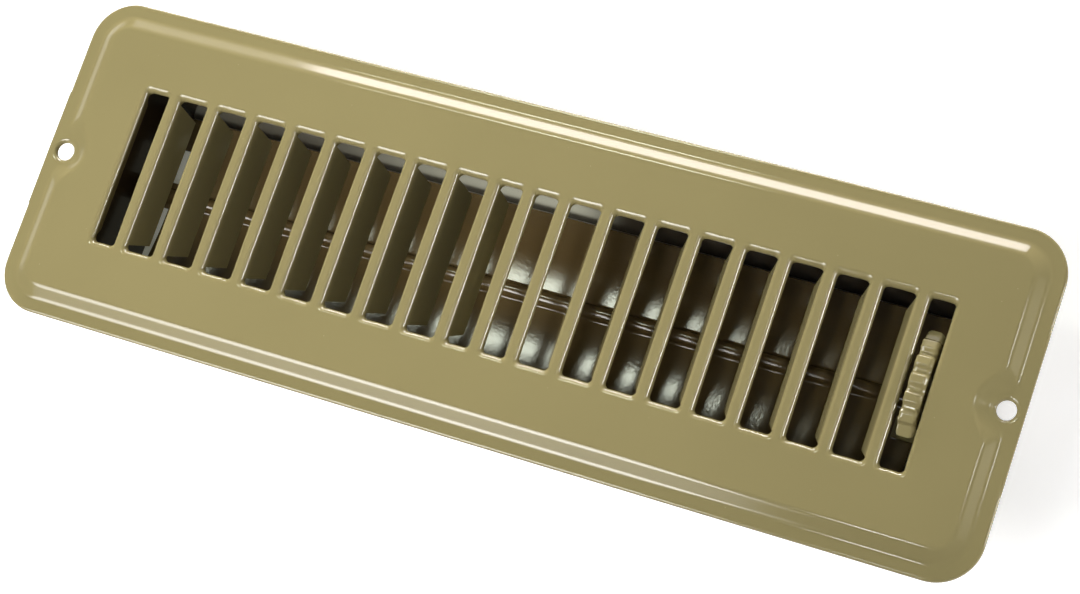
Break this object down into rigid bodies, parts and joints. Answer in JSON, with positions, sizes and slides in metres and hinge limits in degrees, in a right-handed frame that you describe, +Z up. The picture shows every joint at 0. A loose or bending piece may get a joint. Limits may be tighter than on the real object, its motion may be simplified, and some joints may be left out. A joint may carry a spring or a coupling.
{
  "type": "floor register",
  "caption": "Stamped steel floor register: bevelled face with a row of slanted fins over a shallow duct collar, and a butterfly damper turned by a corrugated thumbwheel.",
  "frame": {"origin": "midway between the two screw holes, on the underside of the rim where it meets the floor", "axes": "+X along the face towards the thumbwheel, +Y across the face, +Z up out of the floor"},
  "size_m": [0.292, 0.0952, 0.0376],
  "materials": {
    "face_enamel": "glossy tan baked enamel",
    "collar_enamel": "glossy dark brown enamel",
    "blade_enamel": "glossy brown enamel with orange peel",
    "rod_steel": "drawn",
    "wheel_enamel": "glossy tan baked enamel"
  },
  "bodies": {
    "register": {"face_plate": "face_enamel", "duct_collar": "collar_enamel"},
    "damper": {"damper_blade": "blade_enamel", "damper_rod": "rod_steel", "thumbwheel": "wheel_enamel"}
  },
  "joints": [
    {"name": "damper_turn", "type": "hinge", "parent": "register", "child": "damper", "pos_m": [0, 0, -0.0235], "axis": [1, 0, 0], "range_deg": [-38, 42]}
  ]
}
